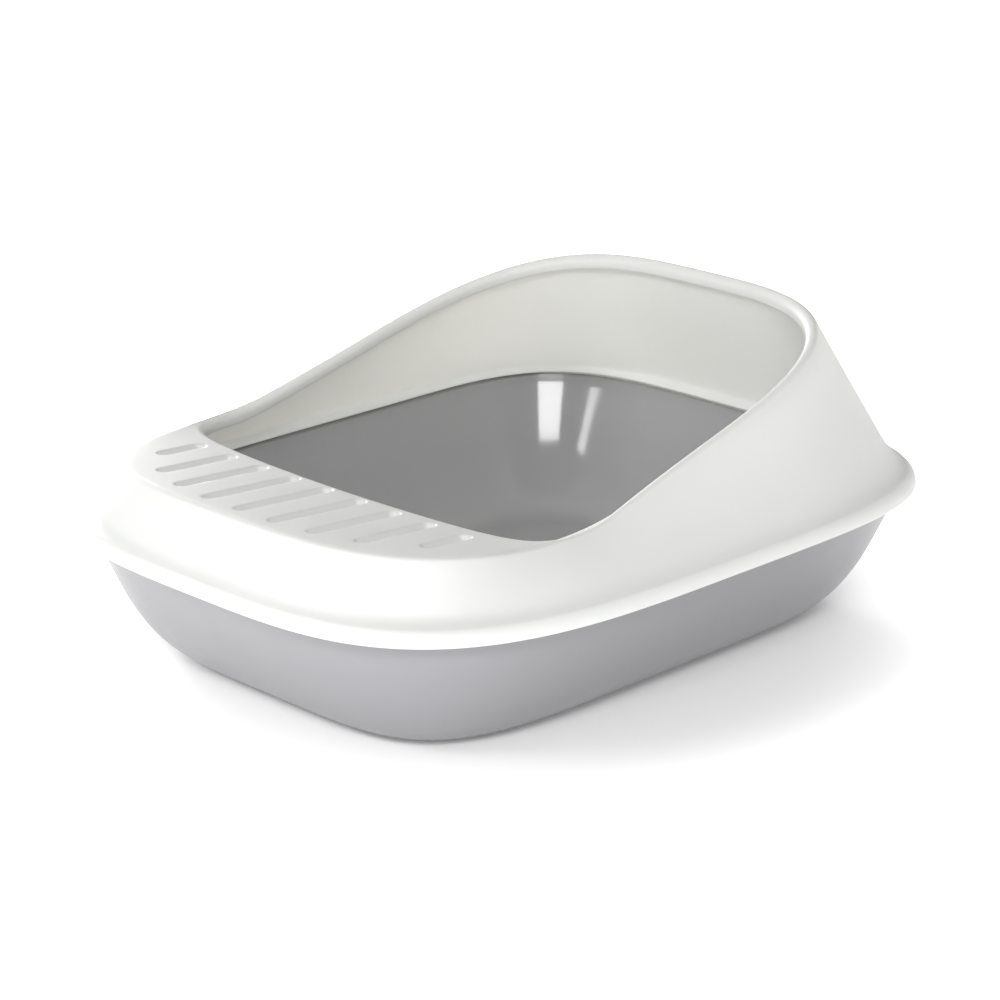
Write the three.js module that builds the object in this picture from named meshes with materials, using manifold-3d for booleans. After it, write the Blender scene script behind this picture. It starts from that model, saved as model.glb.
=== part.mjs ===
// Cat litter tray with a raised push-on rim: a grey tub and a white hood that presses over its edge.
// Millimetres, +Z up, the tray's length along Y with the entry step at -Y, the origin under the
// middle of the tub's floor. Both pieces are thin mouldings, each lofted through closed rings that
// run round the tray.

import * as THREE from 'three';
import { mergeVertices } from 'three/addons/utils/BufferGeometryUtils.js';
import Module from 'manifold-3d';

const wasm = await Module();
wasm.setup();

// ---- driving dimensions, mm ----

const LENGTH = 560;             // over the brim
const WIDTH = 454.2;            // over the brim
const WALL = 2.4;               // thickness of both mouldings
const FIT_GAP = 0.3;            // between the tub's rim and the hood

const BRIM_CORNERS = [3.4, 4.4];  // superellipse exponents of an outline: front half, back half
const SEAM_HEIGHT = 95.6;       // lower edge of the brim
const SEAM_INSET = 10;          // tub wall behind the brim's outermost line, at that height
const TUB_DRAFT = 0.5;          // how far the tub wall closes in, per millimetre down
const TUB_ROUND_HEIGHT = 52.5;  // the bottom round starts here
const TUB_FLOOR_INSET = 85;     // edge of the flat floor
const TUB_FLOOR_CORNERS = [4.5, 6.2];

const CREASE_INSET = 6.5;       // valley between the brim's roll and the leaning wall
const CREASE_HEIGHT = 108.6;
const CREASE_CORNERS = [3.15, 3.8];
const EDGE_HALF = 180.1;        // plan of the wall's top edge, at the back
const EDGE_FLARE = 0.159;       // towards the front it widens by this share of its half width
const EDGE_FLARE_START = -15.7;
const EDGE_FLARE_BLEND = 66.2;
const EDGE_FRONT = 253.3;
const EDGE_BACK = 226.5;
const EDGE_CORNERS = [3.3, 3.3];
const LIP_WIDTH = 9.7;          // rolled lip round the opening
const LIP_DEPTH = 9.6;
const LIP_ROUND = 4.6;
const OPENING_FRONT = 149.7;    // the entry step ends here
const OPENING_CORNERS = [9.1, 3.3];
const OPENING_BOW = 0.093;      // the step's inner edge curves in at its ends by this share

const STEP_HEIGHT = 139.7;      // top of the step at the opening, and of the side edges beside it
const STEP_SLOPE = 0.066;       // the step climbs towards the front
const STEP_BLEND = 16;
const RISE_START = -85.5;       // the side edges climb from here to the back
const RISE_SLOPE = 0.27;
const RISE_BLEND = 20.8;

const GROOVE_COUNT = 9;
const GROOVE_PITCH = 33.6;
const GROOVE_WIDTH = 12;
const GROOVE_DEPTH = 4;
const GROOVE_BACK = -155;       // rear end of every groove
const GROOVE_FRONT = 240;       // front ends lie on a superellipse: its reach to the front,
const GROOVE_FRONT_HALF = 176;  // its half width
const GROOVE_FRONT_CORNER = 3;  // and its exponent

const SKIRT_INSET = 18.5;       // lower edge of the skirt inside the tub
const SKIRT_HEIGHT = 100.3;
const VALLEY_INSET = 12.5;      // inner valley between the leaning wall and the skirt
const VALLEY_RISE = 5.6;
const CHANNEL_INSET = 12.5;     // inner top corner of the channel that takes the tub's rim
const CHANNEL_HEIGHT = 102.6;
const BACK_CLIMB_START = 110;   // skirt and crease climb towards the back from here
const BACK_CLIMB_BLEND = 40;
const SKIRT_CLIMB = 0.045;
const CREASE_CLIMB = 0.018;

const STATIONS = 72;            // points in one ring

// ---- outlines ----

// A closed plan curve: a superellipse whose front (-Y) and back (+Y) halves have their own length
// and corner exponent. Its front edge may curve in at its ends, and it may flare to the front.
function makeOutline(half, front, back, corners, bow = 0, flare = 0) {
  return { half, front, back, corners, bow, flare };
}

function inset(outline, distance) {
  return {
    ...outline,
    half: outline.half - distance,
    front: outline.front - distance,
    back: outline.back - distance,
  };
}

function blendCorners(from, to, share) {
  return from.map((corner, end) => THREE.MathUtils.lerp(corner, to[end], share));
}

// Zero before the start, a straight line after it, with a parabola of half-length `blend` between.
function softRamp(distance, blend) {
  if (distance <= -blend) return 0;
  if (distance >= blend) return distance;
  return (distance + blend) ** 2 / (4 * blend);
}

// The outline's point in the direction `angle` of the unit square that the outline fills.
function outlinePoint(outline, angle) {
  const across = Math.cos(angle);
  const along = Math.sin(angle);
  const atFront = along < 0;
  const corner = outline.corners[atFront ? 0 : 1];
  const reach = (Math.abs(across) ** corner + Math.abs(along) ** corner) ** (-1 / corner);
  const x = outline.half * across * reach;
  let y = (atFront ? outline.front : outline.back) * along * reach;
  if (atFront) y *= 1 - outline.bow * (across * reach) ** 2;
  const widening = (outline.flare * softRamp(EDGE_FLARE_START - y, EDGE_FLARE_BLEND)) / (LENGTH / 2);
  return [x * (1 + widening), y];
}

const brim = makeOutline(WIDTH / 2, LENGTH / 2, LENGTH / 2, BRIM_CORNERS);
const topEdge = makeOutline(EDGE_HALF, EDGE_FRONT, EDGE_BACK, EDGE_CORNERS, 0, EDGE_FLARE);
const opening = makeOutline(
  EDGE_HALF - LIP_WIDTH,
  OPENING_FRONT,
  EDGE_BACK - LIP_WIDTH,
  OPENING_CORNERS,
  OPENING_BOW,
  EDGE_FLARE,
);

// ---- heights ----

// Height of the hood's upper edge over a point at `y`.
function edgeHeight(y) {
  const step = STEP_SLOPE * softRamp(-OPENING_FRONT - y, STEP_BLEND);
  return STEP_HEIGHT + step + RISE_SLOPE * softRamp(y - RISE_START, RISE_BLEND);
}

function creaseHeight(y) {
  return CREASE_HEIGHT + CREASE_CLIMB * softRamp(y - BACK_CLIMB_START, BACK_CLIMB_BLEND);
}

function skirtHeight(y) {
  return SKIRT_HEIGHT + SKIRT_CLIMB * softRamp(y - BACK_CLIMB_START, BACK_CLIMB_BLEND);
}

// ---- rings and lofts ----

// One ring of points on an outline; `height` is a number or a function of y.
function ring(outline, height) {
  return Array.from({ length: STATIONS }, (_, station) => {
    const [x, y] = outlinePoint(outline, (2 * Math.PI * station) / STATIONS);
    return [x, y, typeof height === 'function' ? height(y) : height];
  });
}

// A ring on the straight line between the same stations of two rings.
function ringBetween(from, to, share) {
  return from.map((point, station) =>
    point.map((value, axis) => THREE.MathUtils.lerp(value, to[station][axis], share)),
  );
}

// Joins rings into a closed surface. A looped loft joins the last ring to the first; the other
// kind starts and ends on flat faces, fanned from a point on the Z axis.
function loft(rings, looped) {
  const points = rings.flat();
  const triangles = [];
  const quadRows = looped ? rings.length : rings.length - 1;
  for (let row = 0; row < quadRows; row += 1) {
    const lower = row * STATIONS;
    const upper = ((row + 1) % rings.length) * STATIONS;
    for (let station = 0; station < STATIONS; station += 1) {
      const next = (station + 1) % STATIONS;
      triangles.push(lower + station, lower + next, upper + next);
      triangles.push(lower + station, upper + next, upper + station);
    }
  }
  if (!looped) {
    const last = (rings.length - 1) * STATIONS;
    const start = points.length;
    points.push([0, 0, rings[0][0][2]], [0, 0, rings.at(-1)[0][2]]);
    for (let station = 0; station < STATIONS; station += 1) {
      const next = (station + 1) % STATIONS;
      triangles.push(start, next, station);
      triangles.push(start + 1, last + station, last + next);
    }
  }
  const geometry = new THREE.BufferGeometry();
  geometry.setAttribute('position', new THREE.Float32BufferAttribute(points.flat(), 3));
  geometry.setIndex(triangles);
  return geometry;
}

// ---- solids for joining and cutting ----

function toSolid(geometry) {
  const bare = geometry.clone();
  bare.deleteAttribute('normal');
  bare.deleteAttribute('uv');
  const merged = mergeVertices(bare, 1e-4);
  return new wasm.Manifold(
    new wasm.Mesh({
      numProp: 3,
      vertProperties: new Float32Array(merged.attributes.position.array),
      triVerts: new Uint32Array(merged.index.array),
    }),
  );
}

function toGeometry(solid) {
  const { vertProperties, triVerts } = solid.getMesh();
  const geometry = new THREE.BufferGeometry();
  geometry.setAttribute('position', new THREE.Float32BufferAttribute(vertProperties, 3));
  geometry.setIndex(Array.from(triVerts));
  geometry.computeVertexNormals();
  return geometry;
}

// ---- tub ----

// Inset and height of the tub's outer face, from the floor up: a round that starts flat on the
// floor and ends along the drafted wall, then the wall itself.
function tubOuterProfile() {
  const wallStart = SEAM_INSET + TUB_DRAFT * (SEAM_HEIGHT - TUB_ROUND_HEIGHT);
  const wallAtFloor = SEAM_INSET + TUB_DRAFT * SEAM_HEIGHT;
  const round = new THREE.QuadraticBezierCurve(
    new THREE.Vector2(TUB_FLOOR_INSET, 0),
    new THREE.Vector2(wallAtFloor, 0),
    new THREE.Vector2(wallStart, TUB_ROUND_HEIGHT),
  );
  return [...round.getPoints(7), new THREE.Vector2(SEAM_INSET, SEAM_HEIGHT)];
}

// The outline at an inset and height on the tub: its corners tighten towards the floor.
function tubOutline(insetBy, height) {
  const share = 1 - Math.min(height / SEAM_HEIGHT, 1);
  return { ...inset(brim, insetBy), corners: blendCorners(BRIM_CORNERS, TUB_FLOOR_CORNERS, share) };
}

const RIM_TOP = CHANNEL_HEIGHT + 3 * FIT_GAP;
const FLANGE_REACH = 4.6;       // the tub's stiffening flange, hidden under the brim
const FLANGE_LOW = SEAM_HEIGHT + 1.6;
const FLANGE_HIGH = SEAM_HEIGHT + 4;
const RIM_ROUND = 0.7;

function makeTub() {
  const outer = tubOuterProfile();
  // the rim above the seam: a stiffening flange, then the edge that enters the hood's channel
  const rim = [
    [SEAM_INSET - RIM_ROUND, FLANGE_LOW - 0.4],
    [SEAM_INSET - FLANGE_REACH, FLANGE_LOW],
    [SEAM_INSET - FLANGE_REACH, FLANGE_HIGH],
    [SEAM_INSET - 1.8, FLANGE_HIGH + 0.6],
    [SEAM_INSET - 2, RIM_TOP - RIM_ROUND],
    [SEAM_INSET - 2 + RIM_ROUND, RIM_TOP],
    [SEAM_INSET + 0.8 - RIM_ROUND, RIM_TOP],
    [SEAM_INSET + 0.8, RIM_TOP - RIM_ROUND],
  ];
  // the inner face follows the outer one at the wall's thickness
  const inner = outer
    .map((point, row) => {
      const before = outer[Math.max(row - 1, 0)];
      const after = outer[Math.min(row + 1, outer.length - 1)];
      const along = row === 0 ? new THREE.Vector2(-1, 0) : after.clone().sub(before).normalize();
      return [point.x + along.y * WALL, point.y - along.x * WALL];
    })
    .reverse();
  const rings = [
    ...outer.map((point) => ring(tubOutline(point.x, point.y), point.y)),
    ...rim.map(([insetBy, height]) => ring(tubOutline(insetBy, height), height)),
    ...inner.map(([insetBy, height]) => ring(tubOutline(insetBy, height), height)),
  ];
  return loft(rings, false);
}

// ---- hood ----

const BRIM_EDGE_TURN = 1.2;     // the brim's lower edge turns in by this much
const BRIM_WIDEST = SEAM_HEIGHT + 2.5;

// The brim's roll from its widest line (turn 0) to the crease (turn 90 degrees).
function brimRoll(turn, thickness) {
  const angle = THREE.MathUtils.degToRad(turn);
  const across = CREASE_INSET - thickness * 0.1;
  const share = 1 - Math.cos(angle);
  const insetBy = thickness + (across - thickness) * share;
  const corners = blendCorners(BRIM_CORNERS, CREASE_CORNERS, share);
  const rise = (y) => (creaseHeight(y) - thickness - BRIM_WIDEST) * Math.sin(angle);
  return ring({ ...inset(brim, insetBy), corners }, (y) => BRIM_WIDEST + rise(y));
}

// A ring on the hood's upper edge, set in from an outline and lowered from the edge's height.
function edgeRing(outline, insetBy, lowerBy) {
  return ring(inset(outline, insetBy), (y) => edgeHeight(y) - lowerBy);
}

// A quarter round between an upright face (turn 0) and the top (turn 90 degrees).
function roundRings(outline, side, turns) {
  return turns.map((turn) => {
    const angle = THREE.MathUtils.degToRad(turn);
    const insetBy = side * LIP_ROUND * (1 - Math.cos(angle));
    return edgeRing(outline, insetBy, LIP_ROUND * (1 - Math.sin(angle)));
  });
}

// The edge's outer round, from where the leaning wall runs into it to the top.
function outerRound(wallFoot, shares) {
  const centres = edgeRing(topEdge, LIP_ROUND, LIP_ROUND);
  return shares.map((share) =>
    centres.map(([x, y, z], station) => {
      const [footX, footY, footZ] = wallFoot[station];
      const reach = Math.hypot(footX - x, footY - y);
      const rise = z - footZ;
      const start = Math.acos(LIP_ROUND / Math.hypot(reach, rise)) - Math.atan2(rise, reach);
      const turn = THREE.MathUtils.lerp(start, Math.PI / 2, share);
      const outward = (LIP_ROUND * Math.cos(turn)) / reach;
      return [
        x + (footX - x) * outward,
        y + (footY - y) * outward,
        z + LIP_ROUND * Math.sin(turn),
      ];
    }),
  );
}

// A ring round the skirt's lower edge, or above or below it.
function skirtRing(insetBy, raiseBy, corners = BRIM_CORNERS) {
  return ring({ ...inset(brim, insetBy), corners }, (y) => skirtHeight(y) + raiseBy);
}

function hoodShell() {
  const wallFoot = brimRoll(90, 0);
  const outer = outerRound(wallFoot, [0, 0.4, 0.78, 1]);
  const inner = roundRings(opening, -1, [90, 65, 35, 0]);
  const innerTop = edgeRing(topEdge, WALL, LIP_DEPTH);
  const innerValley = skirtRing(VALLEY_INSET, VALLEY_RISE, CREASE_CORNERS);
  const rings = [
    // brim
    ring(inset(brim, BRIM_EDGE_TURN), SEAM_HEIGHT),
    ring(inset(brim, BRIM_EDGE_TURN * 0.1), SEAM_HEIGHT + 1.2),
    ...[0, 30, 60].map((turn) => brimRoll(turn, 0)),
    wallFoot,
    // leaning wall
    ringBetween(wallFoot, outer[0], 0.35),
    ringBetween(wallFoot, outer[0], 0.7),
    // over the top: outer round, step or lip, inner round
    ...outer,
    ...inner,
    // rolled edge of the lip, and back up inside it
    edgeRing(opening, 0, LIP_DEPTH - 1),
    edgeRing(opening, -1, LIP_DEPTH),
    edgeRing(opening, 1 - WALL, LIP_DEPTH),
    edgeRing(opening, -WALL, LIP_DEPTH - 1),
    edgeRing(opening, -WALL, LIP_ROUND),
    edgeRing(opening, -LIP_ROUND + 0.2, WALL),
    edgeRing(topEdge, LIP_ROUND - 0.2, WALL),
    edgeRing(topEdge, WALL, LIP_ROUND),
    innerTop,
    // inner face of the wall
    ringBetween(innerTop, innerValley, 0.5),
    innerValley,
    // skirt inside the tub, and the channel that takes the tub's rim
    skirtRing(SKIRT_INSET, 0),
    skirtRing(SKIRT_INSET - 2.2, -0.5),
    ring(inset(brim, CHANNEL_INSET), CHANNEL_HEIGHT),
    ...[90, 60, 30, 0].map((turn) => brimRoll(turn, WALL)),
    ring(inset(brim, BRIM_EDGE_TURN + WALL), SEAM_HEIGHT),
  ];
  return loft(rings, true);
}

// A flat bar with round ends, from `low` to `high` along Z and centred on the origin.
function stadium(length, width, low, high) {
  const radius = width / 2;
  const straight = length / 2 - radius;
  const shape = new THREE.Shape();
  shape.absarc(0, straight, radius, 0, Math.PI);
  shape.absarc(0, -straight, radius, Math.PI, 2 * Math.PI);
  shape.closePath();
  const geometry = new THREE.ExtrudeGeometry(shape, {
    depth: high - low,
    bevelEnabled: false,
    curveSegments: 6,
  });
  return geometry.translate(0, 0, low);
}

// Every groove's place on the step: its middle across the tray, and its two ends.
function groovePlaces() {
  return Array.from({ length: GROOVE_COUNT }, (_, index) => {
    const x = (index - (GROOVE_COUNT - 1) / 2) * GROOVE_PITCH;
    const across = (Math.abs(x) / GROOVE_FRONT_HALF) ** GROOVE_FRONT_CORNER;
    return { x, front: -GROOVE_FRONT * (1 - across) ** (1 / GROOVE_FRONT_CORNER) };
  });
}

// The groove, or the pad under it, laid on the step's slope.
function grooveBar(place, margin, low, high) {
  const length = GROOVE_BACK - place.front + 2 * margin;
  const middle = (GROOVE_BACK + place.front) / 2;
  return stadium(length, GROOVE_WIDTH + 2 * margin, low, high)
    .rotateX(-Math.atan(STEP_SLOPE))
    .translate(place.x, middle, edgeHeight(middle));
}

function makeHood() {
  let solid = toSolid(hoodShell());
  for (const place of groovePlaces()) {
    solid = solid.add(toSolid(grooveBar(place, WALL, -GROOVE_DEPTH - WALL, -WALL / 2)));
  }
  for (const place of groovePlaces()) {
    solid = solid.subtract(toSolid(grooveBar(place, 0, -GROOVE_DEPTH, WALL)));
  }
  return toGeometry(solid);
}

// ---- the tray ----

const greyPlastic = new THREE.MeshStandardMaterial({
  color: 0x9c9b9e,
  roughness: 0.38,
  metalness: 0,
});
const whitePlastic = new THREE.MeshStandardMaterial({
  color: 0xe9eae8,
  roughness: 0.42,
  metalness: 0,
});

const tub = new THREE.Mesh(makeTub(), greyPlastic);
tub.name = 'tub';

const hood = new THREE.Mesh(makeHood(), whitePlastic);
hood.name = 'hood';

const litterBox = new THREE.Group();
litterBox.name = 'litter_box';
litterBox.add(tub, hood);

export default litterBox;
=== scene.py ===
import math

import bpy
import numpy as np
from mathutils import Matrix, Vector


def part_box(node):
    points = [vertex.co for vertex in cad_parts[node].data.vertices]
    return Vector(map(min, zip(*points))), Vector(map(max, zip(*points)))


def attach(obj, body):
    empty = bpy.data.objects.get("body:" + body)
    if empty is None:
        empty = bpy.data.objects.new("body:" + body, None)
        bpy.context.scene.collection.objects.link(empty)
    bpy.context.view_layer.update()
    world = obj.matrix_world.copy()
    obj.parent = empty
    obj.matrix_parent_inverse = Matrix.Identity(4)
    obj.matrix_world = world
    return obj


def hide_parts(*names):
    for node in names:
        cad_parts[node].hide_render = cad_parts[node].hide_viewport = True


# Cat litter tray with a raised push-on rim: the grey tub and the white hood as smooth plastic
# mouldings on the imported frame. Shapes are worked out in millimetres and stored in metres. The
# light is five softboxes, an even world and a floor that glows more with distance.

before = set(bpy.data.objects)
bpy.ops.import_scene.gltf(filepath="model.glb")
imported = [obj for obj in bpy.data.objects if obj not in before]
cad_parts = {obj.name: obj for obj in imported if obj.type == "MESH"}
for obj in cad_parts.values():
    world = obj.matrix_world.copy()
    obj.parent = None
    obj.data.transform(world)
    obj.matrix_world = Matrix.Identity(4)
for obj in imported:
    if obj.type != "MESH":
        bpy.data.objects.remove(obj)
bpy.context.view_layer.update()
hood_low, hood_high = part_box("hood")

MM = 0.001

# ---- driving dimensions, mm ----

HALF_LENGTH = hood_high.y / MM
SEAM_HEIGHT = hood_low.z / MM     # lower edge of the brim
WALL = 2.4                        # thickness of both mouldings
FIT_GAP = 0.3                     # the rim's top stands three of these above CHANNEL_HEIGHT

BRIM_CORNERS = (3.4, 4.4)         # superellipse exponents: front half, back half
SEAM_INSET = 10.0                 # tub wall behind the brim's outermost line
TUB_DRAFT = 0.5
TUB_ROUND_HEIGHT = 52.5           # the bottom round starts here
TUB_FLOOR_INSET = 85.0            # edge of the flat floor
TUB_FLOOR_CORNERS = (4.5, 6.2)

CREASE_INSET = 6.5                # valley between the brim's roll and the leaning wall
CREASE_HEIGHT = 108.6
CREASE_CORNERS = (3.15, 3.8)
EDGE_HALF = 180.1                 # plan of the wall's top edge
EDGE_FLARE = 0.159                # it widens by this share towards the front
EDGE_FLARE_START = -15.7
EDGE_FLARE_BLEND = 66.2
EDGE_FRONT = 253.3
EDGE_BACK = 226.5
EDGE_CORNERS = (3.3, 3.3)
LIP_WIDTH = 9.7                   # rolled lip round the opening
LIP_DEPTH = 9.6
LIP_ROUND = 4.6
OPENING_FRONT = 149.7             # the entry step ends here
OPENING_CORNERS = (9.1, 3.3)
OPENING_BOW = 0.093               # the step's inner edge curves in at its ends by this share

STEP_HEIGHT = 139.7               # top of the step at the opening, and of the side edges beside it
STEP_SLOPE = 0.066                # the step climbs towards the front
STEP_BLEND = 16.0
RISE_START = -85.5                # the side edges climb from here to the back
RISE_SLOPE = 0.27
RISE_BLEND = 20.8

GROOVE_COUNT = 9
GROOVE_PITCH = 33.6
GROOVE_WIDTH = 12.0
GROOVE_DEPTH = 4.0
GROOVE_SIDE = 3.6                 # width of a groove's sloped side
GROOVE_BACK = -155.0              # rear end of every groove
GROOVE_FRONT = 240.0              # the front ends lie on a superellipse: its reach to the front,
GROOVE_FRONT_HALF = 176.0         # its half width
GROOVE_FRONT_CORNER = 3.0         # and its exponent

SKIRT_INSET = 18.5                # lower edge of the skirt inside the tub
SKIRT_HEIGHT = 100.3
VALLEY_INSET = 12.5               # inner valley between the wall and the skirt
VALLEY_RISE = 5.6
CHANNEL_INSET = 12.5              # inner top corner of the channel that takes the tub's rim
CHANNEL_HEIGHT = 102.6
BACK_CLIMB_START = 110.0          # skirt and crease climb towards the back from here
BACK_CLIMB_BLEND = 40.0
SKIRT_CLIMB = 0.045
CREASE_CLIMB = 0.018


# ---- outlines ----

def make_outline(half, front, back, corners, bow=0.0, flare=0.0):
    return {
        "half": half, "front": front, "back": back, "corners": corners, "bow": bow, "flare": flare
    }


def inset(outline, distance):
    smaller = {key: outline[key] - distance for key in ("half", "front", "back")}
    return {**outline, **smaller}


def lerp(a, b, share):
    return a + (b - a) * share


def blend_corners(a, b, share):
    return tuple(lerp(one, other, share) for one, other in zip(a, b))


def soft_ramp(distance, blend):
    """Zero before the start, a straight line after it, with a parabola between."""
    curved = (distance + blend) ** 2 / (4 * blend)
    return np.where(distance <= -blend, 0, np.where(distance >= blend, distance, curved))


def outline_points(outline, angles):
    """Plan points of a superellipse whose front (-Y) and back (+Y) halves differ."""
    across, along = np.cos(angles), np.sin(angles)
    at_front = along < 0
    corner = np.where(at_front, outline["corners"][0], outline["corners"][1])
    reach = (np.abs(across) ** corner + np.abs(along) ** corner) ** (-1 / corner)
    x = outline["half"] * across * reach
    y = np.where(at_front, outline["front"], outline["back"]) * along * reach
    y = np.where(at_front, y * (1 - outline["bow"] * (across * reach) ** 2), y)
    widening = outline["flare"] * soft_ramp(EDGE_FLARE_START - y, EDGE_FLARE_BLEND) / HALF_LENGTH
    return x * (1 + widening), y


BRIM_HALF = hood_high.x / MM
brim = make_outline(BRIM_HALF, HALF_LENGTH, HALF_LENGTH, BRIM_CORNERS)
top_edge = make_outline(EDGE_HALF, EDGE_FRONT, EDGE_BACK, EDGE_CORNERS, flare=EDGE_FLARE)
opening = make_outline(
    EDGE_HALF - LIP_WIDTH, OPENING_FRONT, EDGE_BACK - LIP_WIDTH, OPENING_CORNERS, OPENING_BOW,
    EDGE_FLARE,
)


# ---- heights ----

def smooth(value):
    t = np.clip(value, 0, 1)
    return t * t * (3 - 2 * t)


def edge_height(y):
    """Height of the hood's upper edge over a point at y."""
    step = STEP_SLOPE * soft_ramp(-OPENING_FRONT - y, STEP_BLEND)
    return STEP_HEIGHT + step + RISE_SLOPE * soft_ramp(y - RISE_START, RISE_BLEND)


def crease_height(y):
    return CREASE_HEIGHT + CREASE_CLIMB * soft_ramp(y - BACK_CLIMB_START, BACK_CLIMB_BLEND)


def skirt_height(y):
    return SKIRT_HEIGHT + SKIRT_CLIMB * soft_ramp(y - BACK_CLIMB_START, BACK_CLIMB_BLEND)


# ---- rings and meshes ----

def ring(outline, angles, height):
    """One closed ring of points; height is a number or a function of y."""
    x, y = outline_points(outline, angles)
    z = height(y) if callable(height) else np.full_like(x, height)
    return np.stack([x, y, z], axis=1)


def even_angles(count):
    return np.arange(count) * 2 * math.pi / count


def step_angles(fine_count, coarse_count, fine_share):
    """Stations for the hood: closely and evenly spaced along X over the step's grooves."""
    side = math.atan(fine_share)
    fine = -math.pi / 2 + np.arctan(np.linspace(-fine_share, fine_share, fine_count))
    start, end = -math.pi / 2 + side, 3 * math.pi / 2 - side
    coarse = start + (end - start) * np.arange(1, coarse_count) / coarse_count
    return np.concatenate([fine, coarse])


def curve_between(first, control, last, count):
    """Rings along a quadratic Bezier from the first ring to the last, without the two ends."""
    shares = np.arange(1, count) / count
    return [(1 - t) ** 2 * first + 2 * t * (1 - t) * control + t * t * last for t in shares]


def resample(rings, count):
    """The same surface through evenly spaced rings, station by station."""
    stack = np.array(rings)
    steps = np.linalg.norm(np.diff(stack, axis=0), axis=2)
    travelled = np.concatenate([np.zeros((1, stack.shape[1])), np.cumsum(steps, axis=0)])
    shares = np.linspace(0, 1, count)
    result = np.empty((count, stack.shape[1], 3))
    for station in range(stack.shape[1]):
        wanted = shares * travelled[-1, station]
        for axis in range(3):
            result[:, station, axis] = np.interp(
                wanted, travelled[:, station], stack[:, station, axis]
            )
    return list(result)


def loft(name, rings, looped):
    """A closed mesh through rings; without looped, its two ends close on the Z axis."""
    stations = len(rings[0])
    points = np.concatenate(rings)
    rows = len(rings) if looped else len(rings) - 1
    row, station = np.meshgrid(np.arange(rows), np.arange(stations), indexing="ij")
    lower, upper = row * stations, (row + 1) % len(rings) * stations
    after = (station + 1) % stations
    quads = np.stack([lower + station, lower + after, upper + after, upper + station], axis=2)
    faces = quads.reshape(-1, 4).tolist()
    if not looped:
        last, middle = (len(rings) - 1) * stations, len(points)
        ends = [[0, 0, rings[0][0][2]], [0, 0, rings[-1][0][2]]]
        points = np.concatenate([points, ends])
        for s in range(stations):
            n = (s + 1) % stations
            faces.append([middle, n, s])
            faces.append([middle + 1, last + s, last + n])
    mesh = bpy.data.meshes.new(name)
    mesh.from_pydata((points * MM).tolist(), [], faces)
    mesh.polygons.foreach_set("use_smooth", [True] * len(mesh.polygons))
    mesh.update()
    obj = bpy.data.objects.new(name, mesh)
    bpy.context.scene.collection.objects.link(obj)
    return obj


# ---- tub ----

TUB_STATIONS = 240
RIM_TOP = CHANNEL_HEIGHT + 3 * FIT_GAP
RIM_ROUND = 0.7
FLANGE_REACH = 4.6                # the tub's stiffening flange, hidden under the brim
FLANGE_LOW = SEAM_HEIGHT + 1.5
FLANGE_HIGH = SEAM_HEIGHT + 4.1
FLANGE_ROUND = 0.4


def tub_outer_profile():
    """Inset and height of the tub's outer face: a round off the floor, then the drafted wall."""
    wall_start = SEAM_INSET + TUB_DRAFT * (SEAM_HEIGHT - TUB_ROUND_HEIGHT)
    wall_at_floor = SEAM_INSET + TUB_DRAFT * SEAM_HEIGHT
    ends = [(TUB_FLOOR_INSET, 0.0), (wall_at_floor, 0.0), (wall_start, TUB_ROUND_HEIGHT)]
    first, control, last = [np.array(point) for point in ends]
    round_points = [first, *curve_between(first, control, last, 20), last]
    wall_top = np.array([SEAM_INSET, SEAM_HEIGHT])
    wall = [lerp(last, wall_top, share) for share in np.linspace(0, 1, 9)[1:]]
    return [*round_points, *wall]


def tub_outline(inset_by, height):
    """The tub's corners tighten towards the floor."""
    share = 1 - min(height / SEAM_HEIGHT, 1)
    corners = blend_corners(BRIM_CORNERS, TUB_FLOOR_CORNERS, share)
    return {**inset(brim, inset_by), "corners": corners}


def tub_rings():
    angles = even_angles(TUB_STATIONS)
    outer = tub_outer_profile()
    rim = [
        (SEAM_INSET - RIM_ROUND, FLANGE_LOW - 0.3),
        (SEAM_INSET - FLANGE_REACH + 0.3, FLANGE_LOW),
        (SEAM_INSET - FLANGE_REACH, FLANGE_LOW + FLANGE_ROUND),
        (SEAM_INSET - FLANGE_REACH, FLANGE_HIGH - FLANGE_ROUND),
        (SEAM_INSET - FLANGE_REACH + FLANGE_ROUND, FLANGE_HIGH),
        (SEAM_INSET - 1.8, FLANGE_HIGH + 0.5),
        (SEAM_INSET - 2.0, RIM_TOP - RIM_ROUND),
        (SEAM_INSET - 1.7, RIM_TOP - 0.2),
        (SEAM_INSET - 1.3, RIM_TOP),
        (SEAM_INSET + 0.1, RIM_TOP),
        (SEAM_INSET + 0.6, RIM_TOP - 0.2),
        (SEAM_INSET + 0.8, RIM_TOP - RIM_ROUND),
    ]
    inner = []
    for row, point in enumerate(outer):
        before, after = outer[max(row - 1, 0)], outer[min(row + 1, len(outer) - 1)]
        along = (after - before) / np.linalg.norm(after - before)
        if row == 0:
            along = np.array([-1.0, 0.0])
        inner.append(point + WALL * np.array([along[1], -along[0]]))
    profile = [*outer, *rim, *reversed(inner)]
    return [ring(tub_outline(i, z), angles, z) for i, z in profile]


# ---- hood ----

BRIM_EDGE_TURN = 1.2              # the brim's lower edge turns in by this much
BRIM_WIDEST = SEAM_HEIGHT + 2.5
VALLEY_SHARE = 0.16               # share of the wall that belongs to the valley's fillet
STEP_ROWS = 96                    # rings over the top, from the wall to inside the lip
ROLL_END = 55                     # degrees; the fillet in the valley takes over from the roll
UNDER_ROWS = 48

hood_angles = step_angles(fine_count=300, coarse_count=180, fine_share=0.82)


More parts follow.
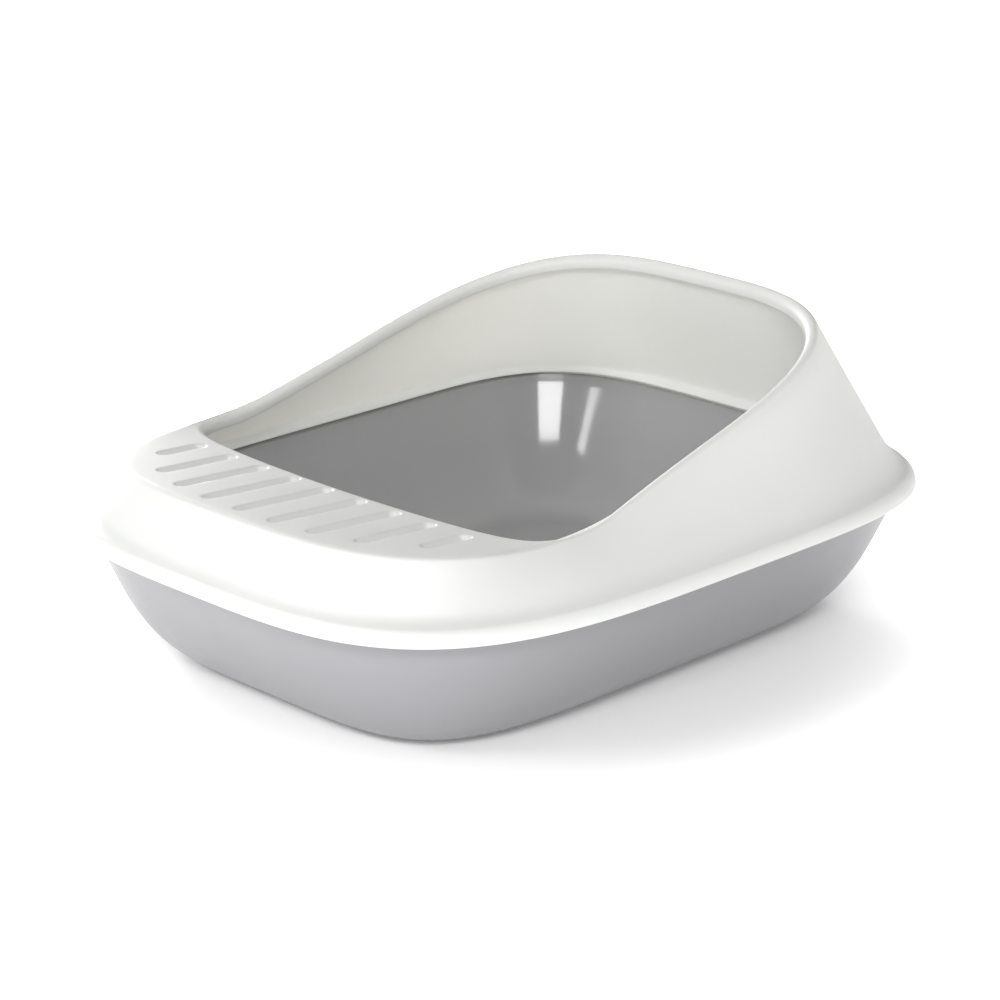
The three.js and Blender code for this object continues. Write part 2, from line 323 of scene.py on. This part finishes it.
def brim_roll(turn, thickness):
    """The brim's roll from its widest line (turn 0) to the crease (turn 90 degrees)."""
    across = CREASE_INSET - thickness * 0.1
    share = 1 - math.cos(turn)
    inset_by = thickness + (across - thickness) * share
    corners = blend_corners(BRIM_CORNERS, CREASE_CORNERS, share)

    def height(y):
        return BRIM_WIDEST + (crease_height(y) - thickness - BRIM_WIDEST) * math.sin(turn)

    return ring({**inset(brim, inset_by), "corners": corners}, hood_angles, height)


def edge_ring(inset_by, lower_by):
    return ring(inset(top_edge, inset_by), hood_angles, lambda y: edge_height(y) - lower_by)


def lip_ring(inset_by, lower_by):
    return ring(inset(opening, inset_by), hood_angles, lambda y: edge_height(y) - lower_by)


def quarter(make_ring, side, turns):
    """Rings of a quarter round between an upright face and the top."""
    return [
        make_ring(side * LIP_ROUND * (1 - math.cos(t)), LIP_ROUND * (1 - math.sin(t)))
        for t in np.radians(turns)
    ]


def outer_round(foot, shares):
    """The edge's outer round, from where the leaning wall runs into it to the top."""
    centre = edge_ring(LIP_ROUND, LIP_ROUND)
    reach = np.hypot(*(foot - centre)[:, :2].T)
    rise = centre[:, 2] - foot[:, 2]
    start = np.arccos(LIP_ROUND / np.hypot(reach, rise)) - np.arctan2(rise, reach)
    outward = (foot - centre) / reach[:, None]
    rings = []
    for share in shares:
        turn = lerp(start, math.pi / 2, share)
        points = centre + LIP_ROUND * np.cos(turn)[:, None] * outward
        points[:, 2] = centre[:, 2] + LIP_ROUND * np.sin(turn)
        rings.append(points)
    return rings


def groove_depths(x, y, margin, depth):
    """How deep the grooves are at plan points; each is a stadium along Y with sloped sides."""
    radius = GROOVE_WIDTH / 2 + margin
    total = np.zeros_like(x)
    for index in range(GROOVE_COUNT):
        middle = (index - (GROOVE_COUNT - 1) / 2) * GROOVE_PITCH
        across = (abs(middle) / GROOVE_FRONT_HALF) ** GROOVE_FRONT_CORNER
        front = -GROOVE_FRONT * (1 - across) ** (1 / GROOVE_FRONT_CORNER) + GROOVE_WIDTH / 2
        back = GROOVE_BACK - GROOVE_WIDTH / 2
        beyond = np.maximum(np.maximum(front - y, y - back), 0)
        inside = radius - np.hypot(x - middle, beyond)
        total = np.maximum(total, depth * smooth(inside / GROOVE_SIDE))
    return total


def press_grooves(rings, margin):
    for points in rings:
        points[:, 2] -= groove_depths(points[:, 0], points[:, 1], margin, GROOVE_DEPTH)
    return rings


def hood_rings():
    wall_foot = brim_roll(math.pi / 2, 0)
    outer = outer_round(wall_foot, np.linspace(0, 1, 9))
    wall_top = outer[0]
    roll = [brim_roll(turn, 0) for turn in np.radians(np.linspace(0, ROLL_END, 9))]
    valley = curve_between(roll[-1], wall_foot, lerp(wall_foot, wall_top, VALLEY_SHARE), 10)
    wall = [lerp(wall_foot, wall_top, share) for share in np.linspace(VALLEY_SHARE, 1, 10)]

    inner = quarter(lip_ring, -1, np.linspace(90, 0, 9))
    over = [*outer, *inner]
    top = press_grooves(resample(over, STEP_ROWS), 0)

    inner_top = edge_ring(WALL, LIP_DEPTH)
    under_lip = [
        lip_ring(0, LIP_DEPTH - 1.2),
        lip_ring(-0.35, LIP_DEPTH - 0.35),
        lip_ring(-1.2, LIP_DEPTH),
        lip_ring(0.9 - WALL, LIP_DEPTH),
        lip_ring(-WALL, LIP_DEPTH - 0.9),
    ]
    under = [lip_ring(-WALL, LIP_ROUND), lip_ring(-LIP_ROUND + 0.2, WALL)]
    under += [edge_ring(LIP_ROUND - 0.2, WALL), edge_ring(WALL, LIP_ROUND)]
    under_top = press_grooves(resample(under, UNDER_ROWS), WALL * 0.6)

    valley_outline = {**inset(brim, VALLEY_INSET), "corners": CREASE_CORNERS}
    inner_valley = ring(valley_outline, hood_angles, lambda y: skirt_height(y) + VALLEY_RISE)
    inner_wall = [lerp(inner_top, inner_valley, share) for share in np.linspace(0, 0.9, 9)]
    skirt_edge = ring(inset(brim, SKIRT_INSET), hood_angles, skirt_height)
    skirt = [lerp(inner_valley, skirt_edge, share) for share in (0.2, 0.5, 0.9)]
    inner_fillet = curve_between(inner_wall[-1], inner_valley, skirt[0], 6)
    skirt_foot = [
        ring(inset(brim, SKIRT_INSET - 0.3), hood_angles, lambda y: skirt_height(y) - 0.5),
        ring(inset(brim, SKIRT_INSET - 0.8), hood_angles, lambda y: skirt_height(y) - 0.7),
        ring(inset(brim, SKIRT_INSET - 2.2), hood_angles, lambda y: skirt_height(y) - 0.5),
    ]
    channel = ring(inset(brim, CHANNEL_INSET), hood_angles, CHANNEL_HEIGHT)
    inner_roll = [brim_roll(turn, WALL) for turn in np.radians([90, 70, 50, 30, 15, 0])]
    edge = [
        ring(inset(brim, BRIM_EDGE_TURN + WALL - 0.2), hood_angles, SEAM_HEIGHT + 0.3),
        ring(inset(brim, BRIM_EDGE_TURN + WALL - 0.7), hood_angles, SEAM_HEIGHT),
        ring(inset(brim, BRIM_EDGE_TURN), hood_angles, SEAM_HEIGHT),
        ring(inset(brim, BRIM_EDGE_TURN * 0.45), hood_angles, SEAM_HEIGHT + 0.4),
        ring(inset(brim, BRIM_EDGE_TURN * 0.1), hood_angles, SEAM_HEIGHT + 1.2),
    ]
    return [
        *roll, *valley, *wall[:-1], *top, *under_lip, *under_top,
        *inner_wall, *inner_fillet, *skirt, *skirt_foot, channel, *inner_roll, *edge,
    ]


def polish_and_paint_lighter_inside(tub, slot):
    """Gives a material slot to the faces that look up or towards the middle of the tub, whose
    glossier grey is painted lighter as painted light inside the tub.
    """
    for face in tub.data.polygons:
        outwards = face.normal.x * face.center.x + face.normal.y * face.center.y
        if face.normal.z > -0.2 and (outwards < 0 or face.normal.z > 0.9):
            face.material_index = slot


tub_moulding = loft("tub_moulding", tub_rings(), looped=False)
hood_moulding = loft("hood_moulding", hood_rings(), looped=True)

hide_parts("tub")
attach(tub_moulding, "tub_body")
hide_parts("hood")
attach(hood_moulding, "hood_body")


# ---- materials ----

def new_material(name):
    material = bpy.data.materials.new(name)
    material.use_nodes = True
    nodes = material.node_tree.nodes
    return material, nodes, material.node_tree.links, nodes["Principled BSDF"]


def add_noise(nodes, links, scale, detail, roughness=0.5):
    """Noise in the object's own space, so that it rides with the piece."""
    coordinates = nodes.new("ShaderNodeTexCoord")
    noise = nodes.new("ShaderNodeTexNoise")
    noise.inputs["Scale"].default_value = scale
    noise.inputs["Detail"].default_value = detail
    noise.inputs["Roughness"].default_value = roughness
    links.new(coordinates.outputs["Object"], noise.inputs["Vector"])
    return noise.outputs["Fac"]


def add_range(nodes, links, value, low, high):
    """Maps the middle part of a noise to low..high."""
    node = nodes.new("ShaderNodeMapRange")
    node.inputs["From Min"].default_value = 0.3
    node.inputs["From Max"].default_value = 0.7
    node.inputs["To Min"].default_value = low
    node.inputs["To Max"].default_value = high
    links.new(value, node.inputs["Value"])
    return node.outputs["Result"]


def add_bump(nodes, links, value, distance, strength, before=None):
    bump = nodes.new("ShaderNodeBump")
    bump.inputs["Distance"].default_value = distance
    bump.inputs["Strength"].default_value = strength
    links.new(value, bump.inputs["Height"])
    if before is not None:
        links.new(before, bump.inputs["Normal"])
    return bump.outputs["Normal"]


def moulded_plastic(name, pale, dark, roughness, grain, waviness):
    """Moulded polypropylene: faintly cloudy colour, uneven gloss, fine tool grain and waviness."""
    material, nodes, links, shader = new_material(name)
    ramp = nodes.new("ShaderNodeValToRGB")
    ramp.color_ramp.elements[0].position = 0.3
    ramp.color_ramp.elements[1].position = 0.7
    ramp.color_ramp.elements[0].color = (*dark, 1)
    ramp.color_ramp.elements[1].color = (*pale, 1)
    links.new(add_noise(nodes, links, scale=7, detail=2), ramp.inputs["Fac"])
    links.new(ramp.outputs["Color"], shader.inputs["Base Color"])
    gloss = add_noise(nodes, links, scale=26, detail=4, roughness=0.6)
    links.new(add_range(nodes, links, gloss, *roughness), shader.inputs["Roughness"])
    slow = add_noise(nodes, links, scale=14, detail=1)
    waves = add_bump(nodes, links, slow, 0.001, waviness)
    fine = add_noise(nodes, links, scale=2400, detail=2)
    links.new(add_bump(nodes, links, fine, 0.0001, grain, waves), shader.inputs["Normal"])
    shader.inputs["IOR"].default_value = 1.49
    return material


def let_light_through(material, colour, share):
    """Thin pale mouldings glow a little where the light is behind them."""
    nodes, links = material.node_tree.nodes, material.node_tree.links
    through = nodes.new("ShaderNodeBsdfTranslucent")
    through.inputs["Color"].default_value = (*colour, 1)
    mix = nodes.new("ShaderNodeMixShader")
    mix.inputs["Fac"].default_value = share
    links.new(nodes["Principled BSDF"].outputs["BSDF"], mix.inputs[1])
    links.new(through.outputs["BSDF"], mix.inputs[2])
    links.new(mix.outputs["Shader"], nodes["Material Output"].inputs["Surface"])


white_plastic = moulded_plastic(
    "white_polypropylene", (0.927, 0.942, 0.935), (0.915, 0.93, 0.922), roughness=(0.38, 0.48),
    grain=0.18, waviness=0.02,
)
let_light_through(white_plastic, colour=(0.95, 0.935, 0.89), share=0.37)
grey_plastic = moulded_plastic(
    "grey_polypropylene", (0.29, 0.287, 0.3), (0.28, 0.277, 0.29), roughness=(0.3, 0.37),
    grain=0.1, waviness=0.015,
)
# Inside of the tub: the same grey plastic, glossier, with a lighter colour that is painted light
# standing in for the light in the tub's hollow.
polished_grey_painted_lighter = moulded_plastic(
    "painted_lighter_polished_grey_polypropylene", (0.347, 0.345, 0.352), (0.337, 0.335, 0.342),
    roughness=(0.1, 0.14), grain=0.02, waviness=0.03,
)
hood_moulding.data.materials.append(white_plastic)
tub_moulding.data.materials.append(grey_plastic)
tub_moulding.data.materials.append(polished_grey_painted_lighter)
polish_and_paint_lighter_inside(tub_moulding, slot=1)


# ---- floor, light and camera ----

def make_floor(size, colour, glow, glow_edges):
    """A flat pale disc just under the tub, lit up more and more away from the object."""
    points = [(size * math.cos(a), size * math.sin(a), 0.0) for a in even_angles(96)]
    mesh = bpy.data.meshes.new("floor")
    mesh.from_pydata(points, [], [list(range(len(points)))])
    floor = bpy.data.objects.new("floor", mesh)
    bpy.context.scene.collection.objects.link(floor)
    floor.location.z = -0.5 * MM
    material, nodes, links, shader = new_material("floor")
    shader.inputs["Base Color"].default_value = (*colour, 1)
    shader.inputs["Roughness"].default_value = 0.9
    shader.inputs["Emission Color"].default_value = (1, 1, 1, 1)
    coordinates = nodes.new("ShaderNodeTexCoord")
    distance = nodes.new("ShaderNodeVectorMath")
    distance.operation = "LENGTH"
    links.new(coordinates.outputs["Object"], distance.inputs[0])
    spread = nodes.new("ShaderNodeMapRange")
    spread.interpolation_type = "SMOOTHSTEP"
    spread.inputs["From Min"].default_value, spread.inputs["From Max"].default_value = glow_edges
    spread.inputs["To Min"].default_value, spread.inputs["To Max"].default_value = glow
    links.new(distance.outputs["Value"], spread.inputs["Value"])
    links.new(spread.outputs["Result"], shader.inputs["Emission Strength"])
    mesh.materials.append(material)


def direction(azimuth, elevation):
    return Vector((
        math.sin(azimuth) * math.cos(elevation),
        -math.cos(azimuth) * math.cos(elevation),
        math.sin(elevation),
    ))


def aim(obj, place, target):
    obj.location = place
    obj.rotation_mode = "QUATERNION"
    obj.rotation_quaternion = (Vector(target) - Vector(place)).to_track_quat("-Z", "Y")


def add_softbox(name, azimuth, elevation, width, height, power, distance=2.5):
    """A rectangular light aimed at the tray; azimuth 0 is in front of it, positive to +X."""
    light = bpy.data.lights.new(name, "AREA")
    light.shape = "RECTANGLE"
    light.size = width
    light.size_y = height
    light.energy = power
    obj = bpy.data.objects.new(name, light)
    bpy.context.scene.collection.objects.link(obj)
    middle = Vector((0, 0, 0.1))
    aim(obj, middle + distance * direction(math.radians(azimuth), math.radians(elevation)), middle)


def make_world(strength):
    world = bpy.data.worlds.new("studio")
    world.use_nodes = True
    background = world.node_tree.nodes["Background"]
    background.inputs["Color"].default_value = (1, 1, 1, 1)
    background.inputs["Strength"].default_value = strength
    bpy.context.scene.world = world
    bpy.context.scene.view_settings.view_transform = "Standard"


def make_camera(azimuth, elevation, distance, target, lens):
    camera = bpy.data.cameras.new("camera")
    camera.lens = lens
    camera.sensor_width = 36
    obj = bpy.data.objects.new("camera", camera)
    bpy.context.scene.collection.objects.link(obj)
    aim(obj, Vector(target) + direction(azimuth, elevation) * distance, target)
    bpy.context.scene.camera = obj


make_floor(30, (0.97, 0.97, 0.97), glow=(0.12, 1.1), glow_edges=(0.22, 0.46))
make_world(0.265)
add_softbox("right_softbox", azimuth=42, elevation=33, width=1.2, height=0.5, power=33)
add_softbox("left_softbox", azimuth=-18, elevation=32, width=0.9, height=0.45, power=14)
add_softbox("front_fill", azimuth=-5, elevation=9, width=1.2, height=0.6, power=7.5)
add_softbox("side_glow", azimuth=-108, elevation=11, width=1.2, height=1.0, power=66)
add_softbox("back_glow", azimuth=180, elevation=15, width=1.2, height=1.2, power=8)
make_camera(
    azimuth=math.radians(45.16), elevation=math.radians(19.0), distance=2.1316,
    target=(0.0118, -0.0058, 0.0984), lens=107.7,
)
